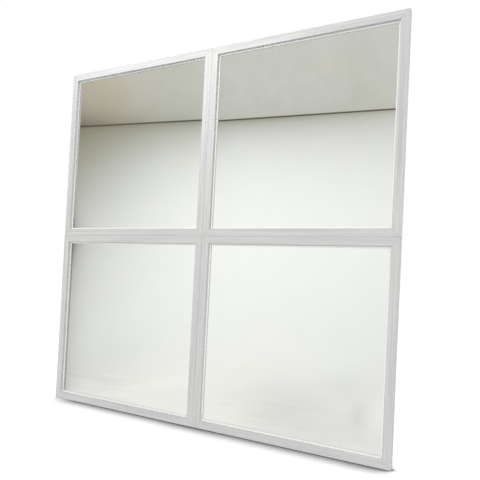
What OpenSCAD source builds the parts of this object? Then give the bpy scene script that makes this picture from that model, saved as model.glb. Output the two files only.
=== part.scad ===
// Four-pane mirror: four mitred mirror panels of one size, joined two by two.
// The front faces -Y and +X is the viewer's right. The origin is the middle of the bottom edge,
// half way between the front faces and the backs of the wall pads.

/* [Overall] */
// Width across the two panels that stand side by side
overall_w = 1200; // [800:10:1600]
// Height over the two panels that stand one above the other
overall_h = 1200; // [800:10:1600]

/* [Frame moulding] */
// Width of the moulding's flat face
face_w = 24; // [22:0.5:34]
// Width of the narrow lip between the face and the pane
lip_w = 4.5; // [3:0.5:6]
// Depth of the moulding from its face to its back
moulding_t = 22; // [22:0.5:30]
// Step from the face down to the lip
step_d = 9; // [5:0.5:9]
// Thickness of the lip in front of the pane
lip_t = 3; // [2:0.5:3]
// Width of the rebate that the pane sits in
rebate_w = 6; // [4:0.5:8]
// Radius of the eased front edges
front_edge_r = 1.5; // [0.5:0.1:2]
// Radius of the lip's eased edge
lip_edge_r = 0.8; // [0.3:0.1:1.2]
// Radius of the eased back edge
back_edge_r = 0.8; // [0.3:0.1:1.5]

/* [Pane and backing] */
// Thickness of the mirror glass
glass_t = 4; // [3:0.5:4]
// Thickness of the backing board
board_t = 3; // [2:0.5:3]
// Gap round the glass and the board in the rebate
pane_gap = 1; // [0.5:0.5:2]

/* [Glazing points and corner nails] */
// Glazing points along each side of a panel
points_per_side = 3; // [2:1:5]
// Distance of a side's outer glazing points from the panel's corners
point_margin = 140; // [60:10:180]
// Thickness of a glazing point
point_t = 0.5; // [0.4:0.1:0.8]
// Length of a corner nail's arm
nail_arm = 5.5; // [4:0.5:6]
// Thickness of a corner nail
nail_t = 0.7; // [0.5:0.1:1]
// How deep a corner nail is driven
nail_depth = 9; // [6:0.5:9]

/* [Joining plates] */
// Thickness of the joining plates
plate_t = 2; // [1.5:0.5:3]
// Width of a plate across its seam
plate_w = 42; // [40:1:42]
// Length of a joining plate along its seam
plate_l = 80; // [60:5:120]
// Length of each bar of the cross plate
cross_l = 160; // [120:10:220]
// Distance of a plate's middle from the outer edge
plate_inset = 70; // [65:5:100]

/* [Screws] */
// Radius of the wood screws' shank
shank_r = 1.75; // [1.5:0.05:1.8]
// Radius of the wood screws' head
head_r = 3.6; // [3.5:0.1:3.8]
// Length of the wood screws
screw_l = 16; // [12:1:18]

/* [Hangers and wall pads] */
// Distance of the hangers' pivots below the top edge
hanger_drop = 110; // [90:5:200]
// Length of a hanger strap below its pivot
strap_l = 44; // [40:1:60]
// Width of a hanger strap
strap_w = 13; // [12:0.5:14]
// Thickness of a hanger strap
strap_t = 1.2; // [1:0.1:1.3]
// Radius of the hanging ring's wire
wire_r = 1.3; // [1.2:0.05:1.4]
// Inside width of the hanging ring
ring_w = 15; // [15:0.5:16]
// Height of a wall pad
pad_h = 6; // [6:0.5:10]
// Radius of a wall pad
pad_r = 6; // [5:0.5:8]

/* [Hidden] */
$fn = 48;
// how far a cut runs past the face it starts from
cut = 1;
// each panel: name, side (-1 left, 1 right), level (-1 lower, 1 upper)
PANELS = [["upper_left", -1, 1], ["upper_right", 1, 1], ["lower_left", -1, -1], ["lower_right", 1, -1]];
// a panel's members in quarter turns from the bottom
MEMBERS = ["bottom_rail", "left_stile", "top_rail", "right_stile"];
PANEL_FITTINGS = ["mirror_pane", "backing_board", "glazing_points", "corner_nails"];
// each seam plate: name, direction from the middle in x and in z
SEAM_PLATES = [["top", 0, 1], ["bottom", 0, -1], ["left", -1, 0], ["right", 1, 0]];
HANGERS = [["left", -1], ["right", 1]];

panel_w = overall_w / 2;
panel_h = overall_h / 2;
member_w = face_w + lip_w;
// width of a member's back, outside its rebate, and the line down its middle that the fixings follow
back_w = member_w - rebate_w;
fixing_line = back_w / 2;
front_y = -(moulding_t + pad_h) / 2;
back_y = front_y + moulding_t;
glass_y = front_y + step_d + lip_t;
board_y = glass_y + glass_t;
point_y = board_y + board_t;
// distance of the screws from the end of a seam plate and of a cross plate's bar
seam_screw_end = 10;
cross_screw_end = 15;
plate_corner_r = 4;
head_h = head_r - shank_r;
screw_tip_l = 4;
recess_l = 3.6;
recess_w = 0.9;
recess_d = 1.6;
// corner nails: distances of their points from the panel's corner
NAIL_PLACES = [7, 16];
// a glazing point: half width, length in the wood, length over the board, length of its tip
point_half_w = 3;
point_in_wood = 6;
point_on_board = 8;
point_tip = 4;
// the strap's loop wraps the ring's straight bar with a running clearance
running_clearance = 0.05;
bore_r = wire_r + running_clearance;
loop_r = bore_r + strap_t;
loop_l = ring_w - 3;
// length of the strap's narrow neck below the loop
neck_l = 10;
// the bar stands off the back so that the ring hangs clear of the strap
swing_gap = 0.4;
pivot_off = strap_t + swing_gap + wire_r;
pivot_z = overall_h - hanger_drop;
// the ring's straight legs: distance of their wire's middle from the ring's middle, and length
leg_x = ring_w / 2 + wire_r;
leg_l = 6;
// distances of the strap's screws below the pivot
STRAP_SCREWS = [9, 34];
pad_edge_r = 1.5;

function side_length(k) = k % 2 == 0 ? panel_w : panel_h;
function side_distance(k) = (k % 2 == 0 ? panel_h : panel_w) / 2;
function hanger_x(h) = h[1] * (overall_w / 2 - fixing_line);

// puts what is drawn round the origin in a panel's place
module in_panel(panel) {
    translate([panel[1] * panel_w / 2, 0, (panel[2] + 1) * panel_h / 2 + panel_h / 2]) children();
}

// puts a bottom member's place round the panel, in quarter turns
module at_side(k) {
    rotate([0, 90 * k, 0]) translate([0, 0, -side_distance(k)]) children();
}

// the sliver that rounds a square corner at the origin
module eased_corner(r) {
    difference() {
        translate([-cut, -cut]) square(r + cut);
        translate([r, r]) circle(r);
    }
}

// the moulding's section: x is the depth behind the face, y the distance in from the outer edge
module moulding_section() {
    difference() {
        square([moulding_t, member_w]);
        translate([-cut, face_w]) square([step_d + cut, lip_w + cut]);
        translate([step_d + lip_t, back_w]) square([moulding_t, rebate_w + cut]);
        eased_corner(front_edge_r);
        translate([0, face_w]) mirror([0, 1]) eased_corner(front_edge_r);
        translate([step_d, member_w]) mirror([0, 1]) eased_corner(lip_edge_r);
        translate([moulding_t, 0]) mirror([1, 0]) eased_corner(back_edge_r);
    }
}

// one length of moulding, lying on its outer edge, with both ends cut at 45 degrees
module mitred_member(length) {
    intersection() {
        translate([-length / 2, front_y, 0])
            rotate([90, 0, 90])
                linear_extrude(length) moulding_section();
        translate([0, back_y + cut, 0])
            rotate([90, 0, 0])
                linear_extrude(moulding_t + 2 * cut)
                    polygon([
                        [-length / 2, 0],
                        [length / 2, 0],
                        [length / 2 - member_w, member_w],
                        [member_w - length / 2, member_w]
                    ]);
    }
}

module frame_member(panel, k) {
    color("whitesmoke") difference() {
        in_panel(panel) difference() {
            at_side(k) mitred_member(side_length(k));
            panel_corner_nails();
            at_side(k) side_points(side_length(k));
        }
        seam_plate_screw_bodies();
        cross_plate_screw_bodies();
        hanger_screw_bodies();
    }
}

// a sheet that fills the rebate but for the gap round it
module rebate_sheet(y, t) {
    w = panel_w - 2 * back_w - 2 * pane_gap;
    h = panel_h - 2 * back_w - 2 * pane_gap;
    translate([-w / 2, y, -h / 2]) cube([w, t, h]);
}

module mirror_pane(panel) {
    color("lightsteelblue") in_panel(panel) rebate_sheet(glass_y, glass_t);
}

module backing_board(panel) {
    color("peru") in_panel(panel) rebate_sheet(board_y, board_t);
}

// a flat steel tab: its tip is in the rebate's wall and its body lies on the board
module glazing_point() {
    translate([0, point_y + point_t, back_w])
        rotate([90, 0, 0])
            linear_extrude(point_t)
                polygon([
                    [0, -point_in_wood],
                    [point_half_w, point_tip - point_in_wood],
                    [point_half_w, point_on_board],
                    [-point_half_w, point_on_board],
                    [-point_half_w, point_tip - point_in_wood]
                ]);
}

module side_points(length) {
    pitch = (length - 2 * point_margin) / (points_per_side - 1);
    for (i = [0 : points_per_side - 1])
        translate([point_margin - length / 2 + i * pitch, 0, 0]) glazing_point();
}

module glazing_points(panel) {
    color("silver") in_panel(panel)
        for (k = [0 : 3])
            at_side(k) side_points(side_length(k));
}

// a V-shaped nail: one arm in each of the two members that meet at the mitre
module corner_nail(place) {
    translate([0, back_y, 0])
        rotate([90, 0, 0])
            linear_extrude(nail_depth)
                for (swap = [0, 1])
                    mirror([swap, -swap])
                        translate([place - nail_arm, place - nail_t / 2])
                            square([nail_arm + nail_t / 2, nail_t]);
}

module panel_corner_nails() {
    for (x = [0, 1], z = [0, 1], place = NAIL_PLACES)
        mirror([x, 0, 0])
            mirror([0, 0, z])
                translate([-panel_w / 2, 0, -panel_h / 2]) corner_nail(place);
}

module corner_nails(panel) {
    color("silver") in_panel(panel) panel_corner_nails();
}

// a countersunk screw's outside, its head at the origin and its length along +Z
module screw_body(length) {
    rotate_extrude()
        polygon([
            [0, 0],
            [head_r, 0],
            [shank_r, head_h],
            [shank_r, length - screw_tip_l],
            [0, length]
        ]);
}

module cross_recess() {
    for (turn = [0, 90])
        rotate([0, 0, turn])
            translate([-recess_l / 2, -recess_w / 2, -cut])
                cube([recess_l, recess_w, recess_d + cut]);
}

// turns what points along +Z into the back at x and z, from the face of a fitting of thickness t
module into_back(x, z, t) {
    translate([x, back_y + t, z]) rotate([90, 0, 0]) children();
}

// puts what is drawn along the vertical seam at a seam plate's place
module at_seam_plate(s) {
    translate([s[1] * (panel_w - plate_inset), 0, panel_h + s[2] * (panel_h - plate_inset)])
        rotate([0, s[1] == 0 ? 0 : 90, 0]) children();
}

module at_seam_plate_screws() {
    for (s = SEAM_PLATES, x = [-1, 1], z = [-1, 1])
        at_seam_plate(s) into_back(x * fixing_line, z * (plate_l / 2 - seam_screw_end), plate_t) children();
}

module seam_plate_screw_bodies() {
    at_seam_plate_screws() screw_body(screw_l);
}

module at_cross_plate_screws() {
    translate([0, 0, panel_h])
        for (turn = [0 : 90 : 270])
            rotate([0, turn, 0])
                for (x = [-1, 1])
                    into_back(x * fixing_line, cross_l / 2 - cross_screw_end, plate_t) children();
}

module cross_plate_screw_bodies() {
    at_cross_plate_screws() screw_body(screw_l);
}

module rounded_rectangle(w, l, r) {
    square([w - 2 * r, l], center = true);
    square([w, l - 2 * r], center = true);
    for (x = [-1, 1], z = [-1, 1])
        translate([x * (w / 2 - r), z * (l / 2 - r)]) circle(r);
}

module seam_plate(s) {
    color("silver") difference() {
        at_seam_plate(s)
            into_back(0, 0, plate_t)
                linear_extrude(plate_t) rounded_rectangle(plate_w, plate_l, plate_corner_r);
        seam_plate_screw_bodies();
    }
}

module cross_joining_plate() {
    color("silver") difference() {
        into_back(0, panel_h, plate_t)
            linear_extrude(plate_t) {
                rounded_rectangle(plate_w, cross_l, plate_corner_r);
                rounded_rectangle(cross_l, plate_w, plate_corner_r);
            }
        cross_plate_screw_bodies();
    }
}

module wood_screw(length) {
    difference() {
        screw_body(length);
        cross_recess();
    }
}

module joining_plate_screws() {
    color("gray") {
        at_seam_plate_screws() wood_screw(screw_l);
        at_cross_plate_screws() wood_screw(screw_l);
    }
}

module at_hanger_screws() {
    for (h = HANGERS, drop = STRAP_SCREWS)
        into_back(hanger_x(h), pivot_z - drop, strap_t) children();
}

module hanger_screw_bodies() {
    at_hanger_screws() screw_body(screw_l);
}

module hanger_screws() {
    color("gray") at_hanger_screws() wood_screw(screw_l);
}

// a round bar of a length along a hanger's pivot
module pivot_bar(h, length, r) {
    translate([hanger_x(h) - length / 2, back_y + pivot_off, pivot_z])
        rotate([0, 90, 0])
            cylinder(h = length, r = r);
}

// a strap's flat, below its pivot: a narrow neck, the body and a round end
module strap_outline() {
    end_y = strap_w / 2 - strap_l;
    translate([-loop_l / 2, -neck_l]) square([loop_l, neck_l]);
    translate([-strap_w / 2, end_y]) square([strap_w, -neck_l - end_y]);
    translate([0, end_y]) circle(strap_w / 2);
}

// a flat strap, screwed to the stile, whose top end is rolled into a loop round the ring's bar
module hanger_strap(h) {
    color("goldenrod") difference() {
        union() {
            into_back(hanger_x(h), pivot_z, strap_t) linear_extrude(strap_t) strap_outline();
            pivot_bar(h, loop_l, loop_r);
        }
        pivot_bar(h, loop_l + 2 * cut, bore_r);
        hanger_screw_bodies();
    }
}

// a D-shaped wire ring, hanging straight down from its bar
module hanging_ring(h) {
    color("goldenrod") translate([hanger_x(h), back_y + pivot_off, pivot_z]) {
        translate([-leg_x, 0, 0]) rotate([0, 90, 0]) cylinder(h = 2 * leg_x, r = wire_r);
        for (x = [-1, 1]) {
            translate([x * leg_x, 0, 0]) sphere(wire_r);
            translate([x * leg_x, 0, -leg_l]) cylinder(h = leg_l, r = wire_r);
        }
        translate([0, 0, -leg_l])
            rotate([-90, 0, 0])
                rotate_extrude(angle = 180)
                    translate([leg_x, 0]) circle(wire_r);
    }
}

// four rubber pads that keep the fittings off the wall
module wall_pads() {
    color("dimgray")
        for (x = [-1, 1], z = [fixing_line, overall_h - fixing_line])
            translate([x * (overall_w / 2 - fixing_line), back_y, z])
                rotate([-90, 0, 0])
                    rotate_extrude() {
                        square([pad_r, pad_h - pad_edge_r]);
                        square([pad_r - pad_edge_r, pad_h]);
                        intersection() {
                            translate([pad_r - pad_edge_r, pad_h - pad_edge_r]) circle(pad_edge_r);
                            square([pad_r, pad_h]);
                        }
                    }
}

for (p = PANELS) {
    for (k = [0 : 3])
        frame_member(p, k);
    mirror_pane(p);
    backing_board(p);
    glazing_points(p);
    corner_nails(p);
}
for (s = SEAM_PLATES)
    seam_plate(s);
cross_joining_plate();
joining_plate_screws();
for (h = HANGERS) {
    hanger_strap(h);
    hanging_ring(h);
}
hanger_screws();
wall_pads();
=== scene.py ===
"""A square mirror of four panes in whitewashed wood: finishes, fittings, light and camera."""

import math

import bpy
from mathutils import Matrix, Vector


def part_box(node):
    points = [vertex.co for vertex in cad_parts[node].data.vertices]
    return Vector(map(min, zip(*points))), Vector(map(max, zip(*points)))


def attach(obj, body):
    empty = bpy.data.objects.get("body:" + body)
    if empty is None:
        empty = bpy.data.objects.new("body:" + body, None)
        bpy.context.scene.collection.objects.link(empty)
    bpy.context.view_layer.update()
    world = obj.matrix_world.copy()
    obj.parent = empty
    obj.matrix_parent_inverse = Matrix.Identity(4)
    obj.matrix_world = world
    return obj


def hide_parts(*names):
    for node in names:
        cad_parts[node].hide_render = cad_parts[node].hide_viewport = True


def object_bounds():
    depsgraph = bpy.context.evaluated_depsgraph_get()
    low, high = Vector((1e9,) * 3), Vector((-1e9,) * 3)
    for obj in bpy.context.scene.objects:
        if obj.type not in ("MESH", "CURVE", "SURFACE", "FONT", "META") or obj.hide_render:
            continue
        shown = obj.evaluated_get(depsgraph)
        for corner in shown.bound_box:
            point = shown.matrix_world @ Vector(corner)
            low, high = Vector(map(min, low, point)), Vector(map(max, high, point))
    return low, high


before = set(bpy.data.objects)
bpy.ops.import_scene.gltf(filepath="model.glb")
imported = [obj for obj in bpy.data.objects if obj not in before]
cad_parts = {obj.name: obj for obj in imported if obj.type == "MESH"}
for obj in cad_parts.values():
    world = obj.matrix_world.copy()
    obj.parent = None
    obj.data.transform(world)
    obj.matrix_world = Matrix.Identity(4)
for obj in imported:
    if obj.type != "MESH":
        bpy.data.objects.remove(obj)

cad_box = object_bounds()

MM = 0.001
WHITE = (1.0, 1.0, 1.0, 1.0)

# the camera: the photograph's frame is square, and every pixel value below counts in it
PHOTO_SIDE = 480
SENSOR_WIDTH = 36.0
FOCAL_PIXELS = 476
AXIS_BELOW_CENTRE = 28
CAMERA_PLACE = (0.7908, -1.2932, 0.4764)
# how far it turns to the left, looks up and rolls to the left, in degrees
CAMERA_TURN = 27.0
CAMERA_RISE = 1.11
CAMERA_ROLL = 2.86

# the moulding, as packed: its flat face, its whole depth, and its back beside the rebate
FACE_W = 24 * MM
MOULDING_T = 22 * MM
BACK_W = 22.5 * MM
# its lip: how far it lies below the face, how thick it is, and how its shading eases to the pane
LIP_DEPTH = 9 * MM
LIP_T = 3 * MM
LIP_EASE = 0.12
# each member's grain is taken this much further along the noise than the one before
GRAIN_STEP = 7.3
# the wash on the step between face and lip, and a greyer one painted as shade where the step lies in
# shade
STEP_WASH = (234, 234, 232)
PAINTED_SHADE_STEP_WASH = (216, 216, 214)

# how closely a metal's drawing marks lie across their run and along it
MARKS_ACROSS = 1800.0
MARKS_ALONG = 60.0

# the fixings at the back: the plane they lie on, their thicknesses, and where their screws sit
BACK_PLANE = 8 * MM
PLATE_T = 2 * MM
STRAP_T = 1.2 * MM
FIXING_LINE = 11.25 * MM
SEAM_SCREW_FROM_END = 10 * MM
CROSS_SCREW_FROM_END = 15 * MM
STRAP_SCREWS_UP = (10 * MM, 35 * MM)
# a screw's outline from its tip to the top of its domed head: radius, and height over the metal
SCREW_OUTLINE = (
    (0.30 * MM, -16.0 * MM),
    (1.75 * MM, -12.0 * MM),
    (1.75 * MM, -1.75 * MM),
    (3.45 * MM, -0.02 * MM),
    (3.45 * MM, 0.10 * MM),
    (3.15 * MM, 0.30 * MM),
    (2.60 * MM, 0.46 * MM),
    (1.80 * MM, 0.58 * MM),
    (0.80 * MM, 0.64 * MM),
)
SCREW_SIDES = 28
# edges that turn by more degrees than this stay sharp
SCREW_SHARP = 32
# how far each screw is turned from the one before, in radians
SCREW_TURN = 1.7
# the cross recess: its arms' length and width, its depth, and how much of its size its foot keeps
RECESS_L = 3.9 * MM
RECESS_W = 0.95 * MM
RECESS_DEPTH = 1.7 * MM
RECESS_FOOT = 0.45
# a face whose normal points down by more than this is a foot
FOOT_NORMAL = -0.9

PANELS = ("upper_left", "upper_right", "lower_left", "lower_right")
# each member: the axis that it runs along and the way in from its outer edge
MEMBERS = {
    "bottom_rail": (0, 1),
    "left_stile": (2, 1),
    "top_rail": (0, -1),
    "right_stile": (2, -1),
}
# how far each pane leans from the wall's plane, to the right and up, in degrees
PANE_LEANS = {
    "upper_left": (0.96, 0.02),
    "upper_right": (0.0, 0.0),
    "lower_left": (0.10, -0.05),
    "lower_right": (-0.05, 0.05),
}
# the plane of the panes' front faces, where the silver shows
PANE_FRONT = -2 * MM
# the painted shade down the outer side of the two left panes: the height where it is darkest, how
# far it fades up and down from there, how strong and how wide it is there and lower down, and its
# limit; the strengths hold at a line this far in from the pane's own edge
EDGE_SHADE_HEIGHT = 585 * MM
EDGE_SHADE_UP = 85 * MM
EDGE_SHADE_DOWN = 80 * MM
EDGE_SHADE_THERE = (0.45, 26 * MM)
EDGE_SHADE_BELOW = (0.17, 46 * MM)
EDGE_SHADE_LIMIT = 0.6
EDGE_SHADE_LINE = 22.5 * MM

# the room that the mirror shows: how high the line between wall and ceiling stands, and how far it
# is turned, in degrees, and half the width over which wall changes to ceiling
CEILING_LINE_RISE = 19.56
CEILING_LINE_TURN = 7.57
CEILING_LINE_EDGE = 0.0004
# where its left and its right begin to change it, and the most that each may count
LEFT_FROM, LEFT_MOST = -0.30, 0.10
RIGHT_FROM, RIGHT_MOST = -0.40, 0.20
# how bright its surfaces are, how dark its line is, and the strength of the whole
WALL_LIGHT = 0.94
FLOOR_LIGHT = 0.74
CEILING_LIGHT = 0.57
LINE_SHADE = 0.76
ROOM_STRENGTH = 1.046
# soft shadows and lights low in the mirror: how far sideways and down, their size, their strength
FLOOR_SPOTS = (
    (-0.215, 0.556, 0.060, 0.026, -0.055),
    (-0.270, 0.530, 0.070, 0.022, -0.02),
    (-0.110, 0.518, 0.040, 0.020, -0.04),
    (-0.082, 0.566, 0.016, 0.020, -0.06),
    (-0.045, 0.565, 0.022, 0.030, 0.06),
    (-0.330, 0.560, 0.060, 0.020, 0.03),
    (-0.545, 0.440, 0.060, 0.040, -0.03),
    (-0.470, 0.500, 0.070, 0.012, 0.04),
    (-0.600, 0.480, 0.030, 0.012, 0.06),
)
# faint yellow stains above: how far sideways and up, their size, their strength
YELLOW_STAINS = (
    (-0.400, 0.030, 0.035, 0.100, 0.90),
    (-0.100, 0.060, 0.030, 0.080, 0.80),
)
# the room's tints, as factors on its light
DEEP_SHADE_TINT = (1.10, 1.0, 0.762, 1.0)
SHADE_TINT = (1.018, 1.0, 0.845, 1.0)
LIGHT_TINT = (1.004, 1.0, 0.980, 1.0)
PATCH_TINT = (1.030, 1.0, 0.90, 1.0)
LEFT_CEILING_TINT = (1.088, 1.0, 0.785, 1.0)
STAIN_TINT = (1.010, 1.0, 0.875, 1.0)
FLOOR_TINT = (1.022, 1.005, 0.955, 1.0)
# the even light that all the rest gets from the world
FILL_LIGHT = 0.79

# the floor: its side, how far it lies under the object, what it gives back to the object, and what
# the camera sees of it by the lamps and by its own glow
FLOOR_SIDE = 80
FLOOR_GAP = 0.3 * MM
FLOOR_BOUNCE = 0.5
FLOOR_LIT = 0.2
FLOOR_GLOW = 0.9
# its contact shadow: its reach, and the shares of open sky where it is full and where it ends
CONTACT_REACH = 118 * MM
CONTACT_SAMPLES = 16
CONTACT_FULL, CONTACT_NONE = 0.43, 0.90
# how much of it fades away past the right corner and towards the left one, and how far to the right
# of that corner each fade begins and ends
RIGHT_CORNER_FADE = 0.85
RIGHT_CORNER_FROM, RIGHT_CORNER_TO = 4 * MM, 50 * MM
LEFT_CORNER_FADE = 0.6
LEFT_CORNER_FROM, LEFT_CORNER_TO = 120 * MM, -4 * MM

# the square lamps: where each hangs, where it aims, its side in metres, its power in watts
SOFT_LAMPS = {
    "front": ((-1.0, -10.9, 2.0), (0.0, 0.0, 0.5), 4.0, 415),
    "side": ((3.2, 0.8, 1.2), (0.6, 0.0, 0.6), 1.6, 22),
    "back": ((-1.6, 2.4, 2.2), (0.0, 0.0, 0.6), 1.8, 36),
}
# the spot on the upper left: its place and aim, half its pool's width and height, how soft its edge
# is, how large its source is, and its power in watts
GLOW_PLACE = (-2.47, -6.15, 4.95)
GLOW_AIM = (-0.22, 0.0, 1.35)
GLOW_HALF_WIDTH = 0.67
GLOW_HALF_HEIGHT = 0.50
GLOW_BLEND = 0.97
GLOW_SOURCE = 0.25
GLOW_POWER = 1390


def paint(red, green, blue):
    """A colour written in display values from 0 to 255, as light."""
    light = [
        v / 255 / 12.92 if v <= 10 else ((v / 255 + 0.055) / 1.055) ** 2.4
        for v in (red, green, blue)
    ]
    return (*light, 1.0)


class Wire:
    """A value on its way through a shader, used in plain arithmetic."""

    def __init__(self, nodes, socket):
        self.nodes = nodes
        self.socket = socket

    def math(self, operation, *values):
        return self.nodes.add("ShaderNodeMath", {"operation": operation}, dict(enumerate(values)))

    def __add__(self, other):
        return self.math("ADD", self, other)

    def __radd__(self, other):
        return self.math("ADD", other, self)

    def __sub__(self, other):
        return self.math("SUBTRACT", self, other)

    def __rsub__(self, other):
        return self.math("SUBTRACT", other, self)

    def __mul__(self, other):
        return self.math("MULTIPLY", self, other)

    def __rmul__(self, other):
        return self.math("MULTIPLY", other, self)

    def __truediv__(self, other):
        return self.math("DIVIDE", self, other)

    def __pow__(self, other):
        return self.math("POWER", self, other)

    def __abs__(self):
        return self.math("ABSOLUTE", self)

    def most(self, other):
        """The larger of the two."""
        return self.math("MAXIMUM", self, other)

    def least(self, other):
        """The smaller of the two."""
        return self.math("MINIMUM", self, other)


class Nodes:
    """A node tree that is written as Python expressions."""

    def __init__(self, tree):
        self.tree = tree
        tree.nodes.clear()

    def add(self, kind, settings=None, sockets=None, out=0):
        """Makes one node: its settings first, then its sockets. Gives the output asked for."""
        node = self.tree.nodes.new(kind)
        for name, value in (settings or {}).items():
            setattr(node, name, value)
        for name, value in (sockets or {}).items():
            socket = node.inputs[name]
            if isinstance(value, Wire):
                self.tree.links.new(value.socket, socket)
            else:
                socket.default_value = value
        return Wire(self, node.outputs[out]) if node.outputs else None

    def ray(self, question):
        """What the ray that is being followed is, such as Is Camera Ray."""
        return self.add("ShaderNodeLightPath", None, None, question)

    def vector(self, x, y, z):
        return self.add("ShaderNodeCombineXYZ", None, {0: x, 1: y, 2: z})

    def split(self, vector):
        return [self.add("ShaderNodeSeparateXYZ", None, {0: vector}, out) for out in range(3)]

    def rise(self, value, low, high):
        """Climbs smoothly from 0 at low to 1 at high."""
        return self.add(
            "ShaderNodeMapRange",
            {"interpolation_type": "SMOOTHSTEP"},
            {"Value": value, "From Min": low, "From Max": high},
        )

    def noise(self, vector, scale=1.0, detail=2.0, roughness=0.5, distortion=0.0):
        return self.add(
            "ShaderNodeTexNoise",
            None,
            {
                "Vector": vector,
                "Scale": scale,
                "Detail": detail,
                "Roughness": roughness,
                "Distortion": distortion,
            },
        )

    def exp(self, value):
        return self.add("ShaderNodeMath", {"operation": "EXPONENT"}, {0: value})

    def blend(self, share, first, second):
        """A colour between two: the first where share is 0, the second where it is 1."""
        return self.add("ShaderNodeMix", {"data_type": "RGBA"}, {0: share, 6: first, 7: second}, 2)

    def scaled(self, colour, value):
        """A colour times a value."""
        return self.add("ShaderNodeVectorMath", {"operation": "SCALE"}, {0: colour, 3: value})


class Finish(Nodes):
    """A material with one Principled shader."""

    def __init__(self, name):
        self.material = bpy.data.materials.new(name)
        self.material.use_nodes = True
        super().__init__(self.material.node_tree)
        self.place = self.add("ShaderNodeTexCoord", None, None, "Object")
        self.x, self.y, self.z = self.split(self.place)

    def bump(self, height, distance, over=None):
        """A bump on the surface, or on the shading direction that it is laid over."""
        sockets = {"Height": height, "Distance": distance}
        if over:
            sockets["Normal"] = self.add("ShaderNodeVectorMath", {"operation": "NORMALIZE"}, {0: over})
        return self.add("ShaderNodeBump", None, sockets)

    def done(self, **sockets):
        """Gives the material, its shader fed from the sockets named with _ for a space."""
        named = {name.replace("_", " "): value for name, value in sockets.items()}
        shader = self.add("ShaderNodeBsdfPrincipled", None, named)
        self.add("ShaderNodeOutputMaterial", None, {"Surface": shader})
        return self.material


def lip_wash_and_painted_light(n):
    """The lips' wash with painted light and shade: whitest low down and to the right, greyer up high
    and over the floor.
    """
    to_right = n.rise(n.x, -150 * MM, 20 * MM)
    low_down = n.blend(to_right, paint(248, 248, 246), paint(255, 255, 253))
    high_up = n.blend(to_right, paint(230, 230, 228), paint(250, 250, 248))
    lip = n.blend(n.rise(n.z, 640 * MM, 1000 * MM), low_down, high_up)
    return n.blend(n.rise(n.z, 60 * MM, 32 * MM), lip, paint(242, 242, 240))


def bare_wood(n, streaks, fibres, patches):
    """Softwood with no wash: its pale early wood, its browner late wood, and paler patches."""
    early_wood = paint(214, 188, 148)
    late_wood = paint(178, 141, 96)
    wood = n.blend(n.rise(streaks + (fibres - 0.5) * 0.3, 0.36, 0.62), late_wood, early_wood)
    return n.blend(n.rise(patches, 0.35, 0.7) * 0.35, wood, paint(226, 214, 190))


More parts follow.
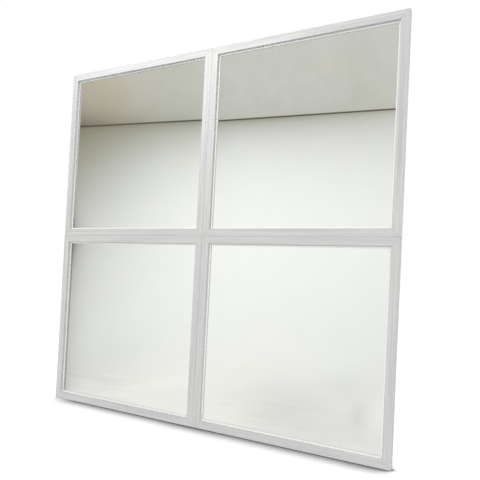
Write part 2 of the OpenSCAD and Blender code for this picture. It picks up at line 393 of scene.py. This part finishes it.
def whitewashed_wood(node, run, inward, seed, step_wash_and_shade):
    """Sawn softwood under a thin white wash, bare at the back, its grain along the member."""
    low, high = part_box(node)
    n = Finish(f"whitewashed_wood_{node}")
    along, side = (n.x, n.z) if run == 0 else (n.z, n.x)
    across_axis = 2 - run
    outer_edge = low[across_axis] if inward > 0 else high[across_axis]
    across = (side - outer_edge) * inward
    depth = n.y - low.y
    to_end = (along - low[run]).least(high[run] - along)

    # grain: long streaks, finer fibres in them, and short open pores
    streaks = n.noise(n.vector(along * 2.4 + seed, across * 260, depth * 260), 1.0, 4.0, 0.55, 0.4)
    fibres = n.noise(n.vector(along * 16 + seed, across * 1500, depth * 1500), 1.0, 2.0)
    pores = n.rise(n.noise(n.vector(along * 70, across * 1900 + seed, depth * 1900)), 0.66, 0.76)
    patches = n.noise(n.vector(along * 5 + seed, across * 30, depth * 30), 1.0, 1.0)

    # the wash lies thin on the hard streaks and fills the soft ones
    wash = n.rise(streaks + (fibres - 0.5) * 0.5 + (patches - 0.5) * 0.3, 0.30, 0.66)
    thin_wash = n.blend(fibres, paint(200, 199, 199), paint(210, 209, 209))
    washed = n.blend(wash, thin_wash, paint(220, 220, 219))
    hairs = n.noise(n.vector(along * 1.8, across * 430 + seed, depth * 430), 1.0, 1.0)
    washed = n.blend(n.rise(hairs, 0.59, 0.66) * 0.5, washed, paint(190, 188, 190))
    washed = n.blend(pores * 0.4, washed, paint(184, 180, 176))

    # sanded arrises: the face's outer and inner edges show the wood in short rubbed places
    outer_arris = 1.0 - n.rise(across.most(depth), 0.3 * MM, 1.9 * MM)
    inner_arris = 1.0 - n.rise(abs(FACE_W - across).most(depth), 0.3 * MM, 1.6 * MM)
    rubbed = n.rise(n.noise(n.vector(along * 24 + seed, across * 90, depth * 90), 1.0, 3.0), 0.52, 0.70)
    worn = outer_arris.most(inner_arris) * rubbed * 0.25
    washed = n.blend(worn, washed, paint(194, 190, 184))

    # the wash lies thicker and cleaner down the step and most on the lip at its foot, its brightness
    # there partly painted light
    in_step = n.rise(across, FACE_W - 0.6 * MM, FACE_W) * n.rise(depth, 1.2 * MM, 3 * MM)
    on_lip = n.rise(across, FACE_W, FACE_W + 0.5 * MM) * n.rise(depth, LIP_DEPTH - 1 * MM, LIP_DEPTH)
    washed = n.blend(in_step * 0.9, washed, n.blend(on_lip, step_wash_and_shade, lip_wash_and_painted_light(n)))

    # bare wood at the back and in the rebate, with the wash's ragged edge just round the arris
    brushed_edge = n.noise(n.vector(along * 40, across * 400, depth * 400)) * (2.5 * MM)
    back = n.rise(depth + brushed_edge, MOULDING_T - 0.1 * MM, MOULDING_T + 0.6 * MM)
    behind_lip = n.rise(depth, LIP_DEPTH + LIP_T - 0.1 * MM, LIP_DEPTH + LIP_T)
    in_rebate = n.rise(across, BACK_W - 0.3 * MM, BACK_W) * behind_lip
    colour = n.blend(back.most(in_rebate), washed, bare_wood(n, streaks, fibres, patches))

    # a hairline of shade at the mitre, where the two members meet
    mitre = 1.0 - n.rise(to_end - across, 0.0, 0.7 * MM)
    colour = n.blend(mitre * 0.45, colour, paint(132, 120, 106))

    # the lip's shading is eased over towards the pane
    height = streaks * 0.7 + fibres * 0.2 - pores * 0.3
    towards_pane = [0.0, 0.0, 0.0]
    towards_pane[across_axis] = inward * LIP_EASE
    flat = n.add("ShaderNodeNewGeometry", None, None, "Normal")
    eased = n.add(
        "ShaderNodeVectorMath",
        {"operation": "MULTIPLY_ADD"},
        {0: n.vector(on_lip, on_lip, on_lip), 1: towards_pane, 2: flat},
    )
    return n.done(
        Base_Color=colour,
        Roughness=0.52 + fibres * 0.16 + back * 0.12,
        Normal=n.bump(height, 0.09 * MM, over=eased),
    )


def painted_edge_shade(n, line):
    """How much painted shade lies on the silver: most at one height, less below it, and fading inwards.
    """
    past_line = n.x - line
    above = n.exp((n.z - EDGE_SHADE_HEIGHT).most(0.0) / -EDGE_SHADE_UP)
    below = n.exp((EDGE_SHADE_HEIGHT - n.z).most(0.0) / -EDGE_SHADE_DOWN)
    under = n.rise(n.z, EDGE_SHADE_HEIGHT + 10 * MM, EDGE_SHADE_HEIGHT - 10 * MM)
    strength, width = EDGE_SHADE_THERE
    there = above * below * strength * n.exp(past_line / -width)
    strength, width = EDGE_SHADE_BELOW
    low_down = (1.0 - below) * under * strength * n.exp(past_line / -width)
    return (there + low_down).least(EDGE_SHADE_LIMIT)


def silvered_glass(pane):
    """The pane: silvered glass with a trace of green, and grey backing paint behind."""
    n = Finish(f"mirror_glass_{pane}")
    to_right, up = (math.radians(angle) for angle in PANE_LEANS[pane])
    flat = n.add("ShaderNodeNewGeometry", None, None, "Normal")
    leaning = n.add("ShaderNodeVectorMath", {"operation": "ADD"}, {0: flat, 1: (to_right, 0.0, up)})
    leaning = n.add("ShaderNodeVectorMath", {"operation": "NORMALIZE"}, {0: leaning})
    silver = 1.0 - n.rise(n.y, PANE_FRONT + 0.1 * MM, PANE_FRONT + 0.5 * MM)
    haze = n.noise(n.vector(n.x * 3, n.y, n.z * 3), 1.0, 3.0)
    glass = n.blend(haze, paint(247, 250, 248), paint(249, 251, 250))
    # painted shade darkens the silver down the outer side of the two left panes
    if pane in ("upper_left", "lower_left"):
        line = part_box(f"{pane}_mirror_pane")[0].x + EDGE_SHADE_LINE
        glass = n.blend(painted_edge_shade(n, line), glass, paint(70, 52, 30))
    return n.done(
        Base_Color=n.blend(silver, paint(112, 122, 116), glass),
        Metallic=silver,
        Roughness=0.4 - silver * 0.4,
        Normal=leaning,
    )


def hardboard(name):
    """Brown pressed fibreboard, smooth side out."""
    n = Finish(name)
    fleck = n.noise(n.place, 1500, 4.0, 0.65, 0.6)
    fibre = n.rise(n.noise(n.vector(n.x * 420, n.y, n.z * 1700), 1.0, 3.0, 0.6, 1.5), 0.56, 0.70)
    cloud = n.noise(n.place, 5, 5.0, 0.6)
    stain = n.noise(n.vector(n.x * 1.6 + 3.0, n.y, n.z * 2.6), 1.0, 4.0, 0.55, 1.2)
    base = n.blend(n.rise(fleck, 0.30, 0.72), paint(126, 88, 56), paint(150, 109, 71))
    base = n.blend(fibre * 0.35, base, paint(176, 138, 96))
    base = n.blend(n.rise(cloud, 0.40, 0.62) * 0.5, base, paint(120, 85, 55))
    base = n.blend(n.rise(stain, 0.50, 0.66) * 0.4, base, paint(164, 122, 82))
    return n.done(
        Base_Color=base,
        Roughness=0.5 + fleck * 0.2,
        Normal=n.bump(fleck, 0.1 * MM),
    )


def worked_metal(name, bright, dull, run, roughness):
    """A plated metal with fine drawing marks along an axis and duller clouds."""
    n = Finish(name)
    stretch = [MARKS_ACROSS, MARKS_ACROSS, MARKS_ACROSS]
    stretch[run] = MARKS_ALONG
    marks = n.noise(n.vector(n.x * stretch[0], n.y * stretch[1], n.z * stretch[2]), 1.0, 2.0)
    cloud = n.rise(n.noise(n.place, 160, 4.0, 0.6), 0.35, 0.7)
    return n.done(
        Base_Color=n.blend(cloud * 0.4 + marks * 0.3, bright, dull),
        Metallic=1.0,
        Roughness=roughness + cloud * 0.12 + marks * 0.08,
        Normal=n.bump(marks, 0.02 * MM),
    )


def rubber(name):
    """Black rubber with a fine grain."""
    n = Finish(name)
    grain = n.noise(n.place, 700, 3.0)
    return n.done(
        Base_Color=n.blend(grain, paint(34, 34, 35), paint(58, 57, 56)),
        Roughness=0.7 + grain * 0.15,
        Normal=n.bump(grain, 0.02 * MM),
    )


def give(node, material):
    """Puts a material on a CAD node."""
    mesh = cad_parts[node].data
    mesh.materials.clear()
    mesh.materials.append(material)


def cross_recess_blade(turned):
    """One of the two tapered blades that cut the cross into a screw's head."""
    bpy.ops.object.select_all(action="DESELECT")
    bpy.ops.mesh.primitive_cube_add(size=1, location=(0, 0, 0))
    blade = bpy.context.object
    blade.scale = (RECESS_L, RECESS_W, 2 * RECESS_DEPTH)
    blade.rotation_euler = (0, 0, math.radians(90 if turned else 0))
    bpy.ops.object.transform_apply(location=False, rotation=True, scale=True)
    bpy.ops.object.mode_set(mode="EDIT")
    bpy.ops.mesh.select_all(action="DESELECT")
    bpy.ops.object.mode_set(mode="OBJECT")
    for face in blade.data.polygons:
        face.select = face.normal.z < FOOT_NORMAL
    bpy.ops.object.mode_set(mode="EDIT")
    bpy.ops.mesh.select_mode(type="FACE")
    bpy.ops.transform.resize(value=(RECESS_FOOT, RECESS_FOOT, 1))
    bpy.ops.object.mode_set(mode="OBJECT")
    return blade


def wood_screw():
    """A countersunk wood screw, drawn out ring by ring from its tip to its low domed head."""
    bpy.ops.object.select_all(action="DESELECT")
    radius, height = SCREW_OUTLINE[0]
    bpy.ops.mesh.primitive_circle_add(
        vertices=SCREW_SIDES, radius=radius, fill_type="NGON", location=(0, 0, height)
    )
    screw = bpy.context.object
    bpy.ops.object.transform_apply(location=True, rotation=False, scale=False)
    bpy.ops.object.mode_set(mode="EDIT")
    bpy.ops.mesh.select_all(action="SELECT")
    for next_radius, next_height in SCREW_OUTLINE[1:]:
        bpy.ops.mesh.extrude_region_move(
            TRANSFORM_OT_translate={"value": (0, 0, next_height - height)}
        )
        swell = next_radius / radius
        bpy.ops.transform.resize(value=(swell, swell, 1))
        radius, height = next_radius, next_height
    bpy.ops.mesh.select_all(action="SELECT")
    bpy.ops.mesh.normals_make_consistent(inside=False)
    bpy.ops.object.mode_set(mode="OBJECT")
    for turned in (False, True):
        blade = cross_recess_blade(turned)
        cut = screw.modifiers.new("recess", "BOOLEAN")
        cut.operation = "DIFFERENCE"
        cut.object = blade
        bpy.ops.object.select_all(action="DESELECT")
        screw.select_set(True)
        bpy.context.view_layer.objects.active = screw
        bpy.ops.object.modifier_apply(modifier="recess")
        bpy.data.objects.remove(blade)
    bpy.ops.object.shade_smooth_by_angle(angle=math.radians(SCREW_SHARP))
    return screw


def drive_screws(name, node, places, material):
    """One piece of screws, driven in at their places, their recesses at any angle."""
    first = wood_screw()
    facing_back = Matrix.Rotation(math.radians(-90), 4, "X")
    screws = []
    for number, place in enumerate(places):
        screw = bpy.data.objects.new(name, first.data.copy())
        turn = Matrix.Rotation(SCREW_TURN * number, 4, "Z")
        screw.data.transform(Matrix.Translation(place) @ facing_back @ turn)
        bpy.context.scene.collection.objects.link(screw)
        screws.append(screw)
    bpy.data.objects.remove(first)
    bpy.ops.object.select_all(action="DESELECT")
    for screw in screws:
        screw.select_set(True)
    bpy.context.view_layer.objects.active = screws[0]
    bpy.ops.object.join()
    piece = bpy.context.object
    piece.name = name
    piece.data.materials.clear()
    piece.data.materials.append(material)
    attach(piece, "root")
    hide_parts(node)


def around(low, high, x, z, y):
    """The four places at x and z either side of the middle of a box."""
    middle = (low + high) / 2
    return [Vector((middle.x + i * x, y, middle.z + k * z)) for i in (-1, 1) for k in (-1, 1)]


def plate_screw_places():
    """Four screws in each seam's plate, and two in each arm of the cross."""
    places = []
    outside = BACK_PLANE + PLATE_T
    for side in ("top", "bottom", "left", "right", "cross"):
        low, high = (Vector(v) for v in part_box(f"{side}_joining_plate"))
        from_end = CROSS_SCREW_FROM_END if side == "cross" else SEAM_SCREW_FROM_END
        if side in ("top", "bottom", "cross"):
            along = (high.z - low.z) / 2 - from_end
            places += around(low, high, FIXING_LINE, along, outside)
        if side in ("left", "right", "cross"):
            along = (high.x - low.x) / 2 - from_end
            places += around(low, high, along, FIXING_LINE, outside)
    return places


def strap_screw_places():
    """Two screws in each hanger strap, one inside the ring and one below it."""
    places = []
    for side in ("left", "right"):
        low, high = (Vector(v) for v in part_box(f"{side}_hanger_strap"))
        for up in STRAP_SCREWS_UP:
            places.append(Vector(((low.x + high.x) / 2, BACK_PLANE + STRAP_T, low.z + up)))
    return places


def finish_frame():
    """Wood on every member and glass in every pane."""
    seed = 0.0
    for panel in PANELS:
        for member, (run, inward) in MEMBERS.items():
            node = f"{panel}_{member}"
            seed += GRAIN_STEP
            # the steps given the greyer wash as painted shade: those that face down, and the left one
            # of the upper right panel
            painted_shade_step = member == "top_rail" or node == "upper_right_left_stile"
            step_wash_and_shade = PAINTED_SHADE_STEP_WASH if painted_shade_step else STEP_WASH
            give(node, whitewashed_wood(node, run, inward, seed, paint(*step_wash_and_shade)))
        give(f"{panel}_mirror_pane", silvered_glass(panel))


def finish_fittings():
    """Board, metal and rubber on everything behind."""
    board = hardboard("hardboard")
    tinned = worked_metal("tinned_steel", paint(214, 214, 212), paint(168, 168, 164), 0, 0.26)
    zinc = worked_metal("zinc_steel", paint(208, 211, 214), paint(164, 168, 172), 0, 0.32)
    screw_steel = worked_metal("screw_steel", paint(226, 220, 198), paint(188, 182, 160), 1, 0.20)
    brass = worked_metal("hanger_brass", paint(238, 205, 132), paint(200, 164, 96), 2, 0.20)
    screw_brass = worked_metal("screw_brass", paint(240, 208, 138), paint(204, 168, 100), 1, 0.18)
    for panel in PANELS:
        give(f"{panel}_backing_board", board)
        give(f"{panel}_glazing_points", tinned)
        give(f"{panel}_corner_nails", tinned)
    for place in ("top", "bottom", "left", "right", "cross"):
        give(f"{place}_joining_plate", zinc)
    drive_screws(
        "plate_screws", "joining_plate_screws", plate_screw_places(), screw_steel
    )
    for side in ("left", "right"):
        give(f"{side}_hanger_strap", brass)
        give(f"{side}_hanging_ring", brass)
    drive_screws("strap_screws", "hanger_screws", strap_screw_places(), screw_brass)
    give("wall_pads", rubber("pad_rubber"))


class Room(Nodes):
    """The world's nodes, and the pale room that the mirror shows: wall, floor and ceiling."""

    def __init__(self, tree):
        """Works out where a direction lies: sideways, from the ceiling's line, and down the floor."""
        super().__init__(tree)
        dx, dy, dz = self.split(self.add("ShaderNodeTexCoord", None, None, "Generated"))
        up, turn = math.radians(CEILING_LINE_RISE), math.radians(CEILING_LINE_TURN)
        forward = abs(dy) * math.cos(turn) - dx * math.sin(turn)
        self.sideways = dx * math.cos(turn) + abs(dy) * math.sin(turn)
        self.above = dz * math.cos(up) - forward * math.sin(up)
        self.over = self.above.most(0.0)
        self.below = (0.0 - self.above).most(0.0)
        self.fall = 0.0 - dz / forward
        self.left = ((LEFT_FROM - self.sideways).most(0.0) ** 2.0).least(LEFT_MOST)
        self.right = ((self.sideways - RIGHT_FROM).most(0.0) ** 2.0).least(RIGHT_MOST)
        self.is_ceiling = self.rise(self.above, -CEILING_LINE_EDGE, CEILING_LINE_EDGE)

    def spot(self, level, sideways, middle, width, height):
        """A soft spot: 1 at its middle, fading over its width and its height."""
        away = ((self.sideways - sideways) / width) ** 2.0 + ((level - middle) / height) ** 2.0
        return self.exp(0.0 - away)

    def wall(self):
        """The wall: darker to both sides, lower down, and towards the ceiling's line."""
        left, right, below = self.left, self.right, self.below
        low_down = self.rise(below, 0.22, 0.50) * (0.078 - left * 0.2)
        wall = WALL_LIGHT - left * 1.6 - right * 0.4 - low_down
        nearness = (below / (0.058 + left * 1.55 + right * 0.17)) ** (1.0 + left * 4.7)
        shade = (0.575 + left * 1.5 - right * 1.1) * self.exp(0.0 - nearness)
        at_line = self.exp(below * -170.0) * 0.3
        return wall * (1.0 - shade) * (1.0 - at_line)

    def wall_and_floor(self):
        """The wall with the floor in front of it, its streaks of light and its soft spots."""
        wall = self.wall()
        floor = FLOOR_LIGHT + (1.0 - self.rise(self.sideways, -0.40, -0.25)) * 0.08
        light = wall + (floor - wall) * self.rise(self.below, 0.45, 0.60)
        for sideways, down, width, height, change in FLOOR_SPOTS:
            light = light + self.spot(self.below, sideways, down, width, height) * change
        streaks = self.noise(
            self.vector(self.sideways * 9.0, self.fall * 95.0, 0.0), 1.0, 5.0, 0.6, 0.5
        )
        streaks = streaks - 0.52 - self.left * 0.7
        light = light + streaks * self.rise(self.fall, 0.240, 0.262) * (0.10 + self.left * 1.9)
        return light + self.rise(self.fall, 0.300, 0.335) * 0.02

    def ceiling(self):
        """The ceiling: evenly grey, dimmer to the left and near the line."""
        near_line = (0.12 + self.left * 7.0) * self.exp(self.over * -30.0)
        return (CEILING_LIGHT - self.left * 1.7) * (1.0 - near_line)

    def light(self):
        """How bright the room is in each direction, with its mottle and its dark line."""
        wall = self.wall_and_floor()
        light = wall + (self.ceiling() - wall) * self.is_ceiling
        mottle = self.noise(
            self.vector(self.sideways * 26.0, self.above * 26.0, 0.0), 1.0, 5.0, 0.7
        )
        light = light * (1.0 + (mottle - 0.5) * (0.06 + self.is_ceiling * 0.14))
        line = 1.0 - self.rise(abs(self.above), 0.0006, 0.0024)
        return light * (1.0 - line * (LINE_SHADE - self.left * 3.6))

    def tint(self, light):
        """The room's tint: warmer in its shade, in patches, and in the ceiling's left."""
        tint = self.blend(self.rise(light, 0.20, 0.40), DEEP_SHADE_TINT, SHADE_TINT)
        tint = self.blend(self.rise(light, 0.36, 0.66), tint, LIGHT_TINT)
        patches = self.noise(
            self.vector(self.sideways * 6.0 + 2.0, self.above * 9.0, 0.0), 1.0, 3.0
        )
        warm = self.rise(patches, 0.46, 0.62) * (self.is_ceiling * 0.7 + 0.1)
        tint = self.blend(warm, tint, PATCH_TINT)
        return self.blend(
            self.is_ceiling * self.rise(self.left, 0.012, 0.060), tint, LEFT_CEILING_TINT
        )

    def colour(self):
        """The room's light in its tint, with the yellow stains and the warmer floor."""
        light = self.light()
        tint = self.tint(light)
        for sideways, up, width, height, strength in YELLOW_STAINS:
            stain = self.spot(self.above, sideways, up, width, height) * strength
            light = light * (1.0 - stain * 0.05)
            tint = self.blend(stain, tint, STAIN_TINT)
        to_right = self.rise(self.sideways, -0.30, -0.12)
        warm_floor = self.rise(self.below, 0.40, 0.52) * (0.8 - to_right * 0.65)
        tint = self.blend(warm_floor, tint, FLOOR_TINT)
        return self.scaled(tint, light * ROOM_STRENGTH)


def make_world():
    """White to the camera, the room to the mirror and the metal, a soft even fill to the rest."""
    world = bpy.data.worlds.new("studio")
    world.use_nodes = True
    bpy.context.scene.world = world
    room = Room(world.node_tree)
    shiny_ray = room.ray("Is Glossy Ray").most(room.ray("Is Transmission Ray"))
    # a reflection counts as one only while its ray has met nothing matt
    no_matt_bounce = 1.0 - room.rise(room.ray("Diffuse Depth"), 0.0, 1.0)
    fill = (FILL_LIGHT, FILL_LIGHT, FILL_LIGHT, 1.0)
    colour = room.blend(shiny_ray * no_matt_bounce, fill, room.colour())
    colour = room.blend(room.ray("Is Camera Ray"), colour, WHITE)
    background = room.add("ShaderNodeBackground", None, {"Color": colour, "Strength": 1.0})
    room.add("ShaderNodeOutputWorld", None, {"Surface": background})


def contact_light(n):
    """The light left on the floor: 1 in the open, less where the object stands on it."""
    open_sky = n.add(
        "ShaderNodeAmbientOcclusion", {"samples": CONTACT_SAMPLES}, {"Distance": CONTACT_REACH}, "AO"
    )
    shadow = 1.0 - n.rise(open_sky, CONTACT_FULL, CONTACT_NONE)
    x = n.split(n.add("ShaderNodeTexCoord", None, None, "Object"))[0]
    left, right = cad_box[0].x, cad_box[1].x
    past_right = n.rise(x, right + RIGHT_CORNER_FROM, right + RIGHT_CORNER_TO)
    at_left = n.rise(x, left + LEFT_CORNER_FROM, left + LEFT_CORNER_TO)
    shadow = shadow * (1.0 - past_right * RIGHT_CORNER_FADE)
    return 1.0 - shadow * (1.0 - at_left * LEFT_CORNER_FADE)


def make_floor():
    """A white floor that keeps the shadow where the object meets it."""
    bpy.ops.object.select_all(action="DESELECT")
    bpy.ops.mesh.primitive_plane_add(size=FLOOR_SIDE, location=(0, 0, -FLOOR_GAP))
    floor = bpy.context.object
    floor.name = "studio_floor"
    floor.visible_glossy = False
    material = bpy.data.materials.new("studio_floor")
    material.use_nodes = True
    n = Nodes(material.node_tree)
    light = contact_light(n)
    camera_ray = n.ray("Is Camera Ray")
    # the camera sees what the lamps lay on it and its glow, and the object gets its bounce
    lit = FLOOR_BOUNCE - camera_ray * (FLOOR_BOUNCE - light * FLOOR_LIT)
    white = n.add("ShaderNodeBsdfDiffuse", None, {"Color": n.scaled(WHITE[:3], lit)})
    glow = n.add(
        "ShaderNodeEmission", None, {"Color": WHITE, "Strength": camera_ray * light * FLOOR_GLOW}
    )
    both = n.add("ShaderNodeAddShader", None, {0: white, 1: glow})
    n.add("ShaderNodeOutputMaterial", None, {"Surface": both})
    floor.data.materials.append(material)


def hang_lamp(data, place, aim, power):
    """Hangs a lamp that neither the camera nor a reflection shows."""
    data.energy = power
    lamp = bpy.data.objects.new(data.name, data)
    bpy.context.scene.collection.objects.link(lamp)
    lamp.location = place
    lamp.rotation_euler = (Vector(aim) - Vector(place)).to_track_quat("-Z", "Y").to_euler()
    lamp.visible_glossy = False
    lamp.visible_camera = False
    return lamp


def soft_lamp(name):
    """One of the square lamps."""
    place, aim, side, power = SOFT_LAMPS[name]
    data = bpy.data.lights.new(name, "AREA")
    data.size = side
    hang_lamp(data, place, aim, power)


def top_glow():
    """A wide soft-edged pool of light, its middle just over the frame and left of its middle."""
    data = bpy.data.lights.new("top_glow", "SPOT")
    data.spot_size = 2 * math.atan(GLOW_HALF_HEIGHT / (Vector(GLOW_AIM) - Vector(GLOW_PLACE)).length)
    data.spot_blend = GLOW_BLEND
    data.shadow_soft_size = GLOW_SOURCE
    lamp = hang_lamp(data, GLOW_PLACE, GLOW_AIM, GLOW_POWER)
    lamp.scale = (GLOW_HALF_WIDTH / GLOW_HALF_HEIGHT, 1, 1)


def make_lamps():
    """The front light, the pool on the upper left, and two weak lamps at the side and the back."""
    soft_lamp("front")
    top_glow()
    soft_lamp("side")
    soft_lamp("back")


def make_camera():
    """The camera of the photograph: turned to the left, nearly level, with a little roll."""
    turn, rise, roll = (math.radians(a) for a in (CAMERA_TURN, CAMERA_RISE, CAMERA_ROLL))
    ahead = Vector(
        (-math.sin(turn) * math.cos(rise), math.cos(turn) * math.cos(rise), math.sin(rise))
    )
    level = ahead.cross(Vector((0, 0, 1))).normalized()
    upright = level.cross(ahead)
    right = level * math.cos(roll) + upright * math.sin(roll)
    up = upright * math.cos(roll) - level * math.sin(roll)
    data = bpy.data.cameras.new("camera")
    data.sensor_width = SENSOR_WIDTH
    data.lens = FOCAL_PIXELS * SENSOR_WIDTH / PHOTO_SIDE
    data.shift_y = AXIS_BELOW_CENTRE / PHOTO_SIDE
    camera = bpy.data.objects.new("camera", data)
    bpy.context.scene.collection.objects.link(camera)
    turned = Matrix((right, up, -ahead)).transposed().to_4x4()
    camera.matrix_world = Matrix.Translation(CAMERA_PLACE) @ turned
    bpy.context.scene.camera = camera


make_camera()
finish_frame()
finish_fittings()
make_world()
make_floor()
make_lamps()
bpy.context.scene.view_settings.view_transform = "Standard"
